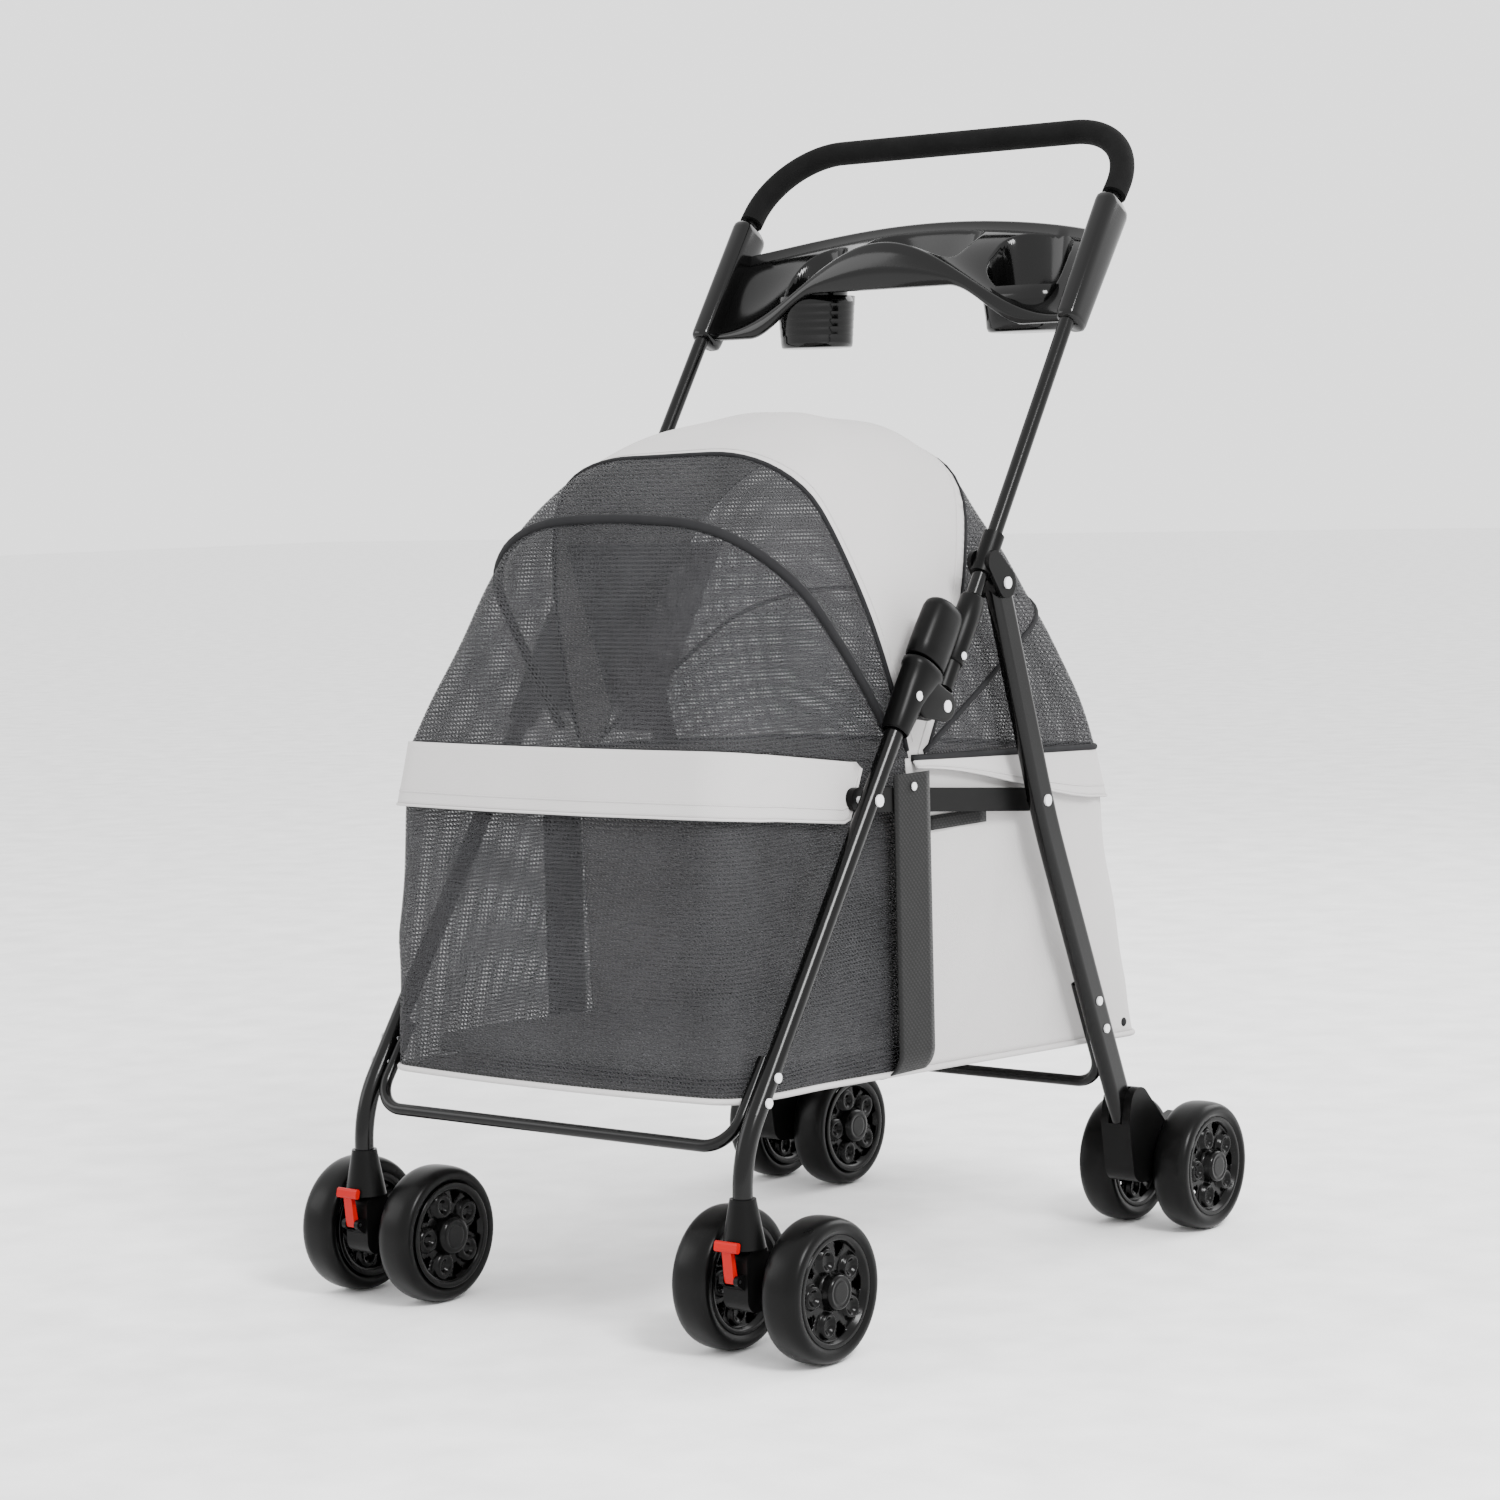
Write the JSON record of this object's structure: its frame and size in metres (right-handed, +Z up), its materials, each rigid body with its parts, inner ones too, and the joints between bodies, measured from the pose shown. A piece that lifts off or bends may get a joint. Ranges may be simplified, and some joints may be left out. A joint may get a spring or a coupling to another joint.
{
  "type": "pet stroller",
  "caption": "Folding four-wheeled pet stroller with a meshed fabric cabin, domed canopy, cup tray and padded push handle.",
  "frame": {"origin": "on the floor, under the middle of the stroller's plan", "axes": "+Z up, front facing -Y, +X towards the side with the wide bottle well"},
  "size_m": [0.5308, 0.7002, 0.9994],
  "materials": {
    "tube_black": "gloss powder-coated steel tube",
    "rail_black": "satin powder-coated steel bar",
    "foam_black": "closed-cell foam sleeve",
    "plastic_black": "moulded plastic with a soft sheen",
    "tray_black": "gloss moulded plastic",
    "hub_black": "gloss moulded plastic",
    "tyre_black": "moulded tyre",
    "lever_red": "gloss moulded plastic",
    "rivet_white": "bright rivet heads",
    "axle_steel": "plain steel rod",
    "mesh_grey": "open knitted mesh",
    "fabric_light": "woven polyester",
    "hoop_black": "coated spring wire",
    "board_grey": "covered base board",
    "webbing_black": "woven webbing"
  },
  "bodies": {
    "brake_pedal_left": {"brake_pedal_left": "plastic_black"},
    "brake_pedal_right": {"brake_pedal_right": "plastic_black"},
    "chassis": {"cabin_flaps": "fabric_light", "cabin_front_mesh": "mesh_grey", "cabin_shell": "fabric_light", "canopy_cover": "fabric_light", "canopy_front_mesh": "mesh_grey", "canopy_hoops": "hoop_black", "canopy_rear_mesh": "mesh_grey", "caster_socket_left": "plastic_black", "caster_socket_right": "plastic_black", "chassis_rivets": "rivet_white", "floor_board": "board_grey", "front_cross_tube": "tube_black", "leg_front_left": "tube_black", "leg_front_right": "tube_black", "lock_base_left": "plastic_black", "lock_base_right": "plastic_black", "sling_strap": "webbing_black"},
    "caster_left": {"caster_block_left": "plastic_black", "caster_pins_left": "axle_steel"},
    "caster_right": {"caster_block_right": "plastic_black", "caster_pins_right": "axle_steel"},
    "handle": {"cup_tray": "tray_black", "foam_grip": "foam_black", "handle_fasteners": "rivet_white", "handle_knuckle_left": "plastic_black", "handle_knuckle_right": "plastic_black", "handle_tube": "tube_black", "leg_bracket_left": "plastic_black", "leg_bracket_right": "plastic_black"},
    "wheel_front_left_inner": {"hub_front_left_inner": "hub_black", "tyre_front_left_inner": "tyre_black"},
    "wheel_front_left_outer": {"hub_front_left_outer": "hub_black", "tyre_front_left_outer": "tyre_black"},
    "wheel_front_right_inner": {"hub_front_right_inner": "hub_black", "tyre_front_right_inner": "tyre_black"},
    "wheel_front_right_outer": {"hub_front_right_outer": "hub_black", "tyre_front_right_outer": "tyre_black"},
    "wheel_rear_left_inner": {"hub_rear_left_inner": "hub_black", "tyre_rear_left_inner": "tyre_black"},
    "wheel_rear_left_outer": {"hub_rear_left_outer": "hub_black", "tyre_rear_left_outer": "tyre_black"},
    "wheel_rear_right_inner": {"hub_rear_right_inner": "hub_black", "tyre_rear_right_inner": "tyre_black"},
    "wheel_rear_right_outer": {"hub_rear_right_outer": "hub_black", "tyre_rear_right_outer": "tyre_black"},
    "rear_frame": {"leg_rear_left": "tube_black", "leg_rear_right": "tube_black", "rear_axles": "axle_steel", "rear_cross_tube": "tube_black", "rear_housing_left": "plastic_black", "rear_housing_right": "plastic_black", "rear_pins": "rivet_white"},
    "lock_sleeve_left": {"lock_sleeve_left": "plastic_black"},
    "lock_sleeve_right": {"lock_sleeve_right": "plastic_black"},
    "side_rails": {"side_rail_left": "rail_black", "side_rail_right": "rail_black"},
    "swivel_lever_left": {"swivel_lever_left": "lever_red"},
    "swivel_lever_right": {"swivel_lever_right": "lever_red"}
  },
  "joints": [
    {"name": "handle_fold", "type": "hinge", "parent": "chassis", "child": "handle", "pos_m": [0, -0.05215, 0.494], "axis": [-1, 0, 0], "range_deg": [0, 140], "deforming": ["cabin_front_mesh", "cabin_shell", "floor_board", "cabin_flaps", "sling_strap", "canopy_front_mesh", "canopy_cover", "canopy_rear_mesh", "canopy_hoops"]},
    {"name": "rear_leg_fold", "type": "hinge", "parent": "handle", "child": "rear_frame", "pos_m": [0, 0.04085, 0.592], "axis": [1, 0, 0], "range_deg": [0, 100.2]},
    {"name": "side_rail_fold", "type": "hinge", "parent": "chassis", "child": "side_rails", "pos_m": [0, -0.14615, 0.424], "axis": [-1, 0, 0], "range_deg": [0, 83]},
    {"name": "lock_slide_right", "type": "slide", "parent": "handle", "child": "lock_sleeve_right", "axis": [0, 0.5486, 0.8361], "range_m": [0, 0.014], "stiffness_N_per_m": 300, "springref_m": -0.005},
    {"name": "caster_swivel_right", "type": "hinge", "parent": "chassis", "child": "caster_right", "pos_m": [0.2016, -0.32615, 0.1], "axis": [0, 0, 1], "continuous": true},
    {"name": "swivel_lever_right", "type": "hinge", "parent": "caster_right", "child": "swivel_lever_right", "pos_m": [0.2016, -0.34315, 0.07], "axis": [1, 0, 0], "range_deg": [0, 25]},
    {"name": "brake_pedal_right", "type": "hinge", "parent": "rear_frame", "child": "brake_pedal_right", "pos_m": [0.2016, 0.29565, 0.0855], "axis": [-1, 0, 0], "range_deg": [0, 22]},
    {"name": "spin_front_right_outer", "type": "hinge", "parent": "caster_right", "child": "wheel_front_right_outer", "pos_m": [0.2458, -0.28815, 0.0575], "axis": [1, 0, 0], "continuous": true},
    {"name": "spin_front_right_inner", "type": "hinge", "parent": "caster_right", "child": "wheel_front_right_inner", "pos_m": [0.1574, -0.28815, 0.0575], "axis": [1, 0, 0], "continuous": true},
    {"name": "spin_rear_right_outer", "type": "hinge", "parent": "rear_frame", "child": "wheel_rear_right_outer", "pos_m": [0.2405, 0.29265, 0.0575], "axis": [1, 0, 0], "continuous": true},
    {"name": "spin_rear_right_inner", "type": "hinge", "parent": "rear_frame", "child": "wheel_rear_right_inner", "pos_m": [0.1627, 0.29265, 0.0575], "axis": [1, 0, 0], "continuous": true},
    {"name": "lock_slide_left", "type": "slide", "parent": "handle", "child": "lock_sleeve_left", "axis": [0, 0.5486, 0.8361], "range_m": [0, 0.014], "stiffness_N_per_m": 300, "springref_m": -0.005},
    {"name": "caster_swivel_left", "type": "hinge", "parent": "chassis", "child": "caster_left", "pos_m": [-0.2016, -0.32615, 0.1], "axis": [0, 0, 1], "continuous": true},
    {"name": "swivel_lever_left", "type": "hinge", "parent": "caster_left", "child": "swivel_lever_left", "pos_m": [-0.2016, -0.34315, 0.07], "axis": [1, 0, 0], "range_deg": [0, 25]},
    {"name": "brake_pedal_left", "type": "hinge", "parent": "rear_frame", "child": "brake_pedal_left", "pos_m": [-0.2016, 0.29565, 0.0855], "axis": [-1, 0, 0], "range_deg": [0, 22]},
    {"name": "spin_front_left_outer", "type": "hinge", "parent": "caster_left", "child": "wheel_front_left_outer", "pos_m": [-0.2458, -0.28815, 0.0575], "axis": [1, 0, 0], "continuous": true},
    {"name": "spin_front_left_inner", "type": "hinge", "parent": "caster_left", "child": "wheel_front_left_inner", "pos_m": [-0.1574, -0.28815, 0.0575], "axis": [1, 0, 0], "continuous": true},
    {"name": "spin_rear_left_outer", "type": "hinge", "parent": "rear_frame", "child": "wheel_rear_left_outer", "pos_m": [-0.2405, 0.29265, 0.0575], "axis": [1, 0, 0], "continuous": true},
    {"name": "spin_rear_left_inner", "type": "hinge", "parent": "rear_frame", "child": "wheel_rear_left_inner", "pos_m": [-0.1627, 0.29265, 0.0575], "axis": [1, 0, 0], "continuous": true}
  ],
  "couplings": [
    {"joint": "rear_leg_fold", "follows": "handle_fold", "ratio": 0.713},
    {"joint": "side_rail_fold", "follows": "handle_fold", "ratio": 0.59}
  ]
}
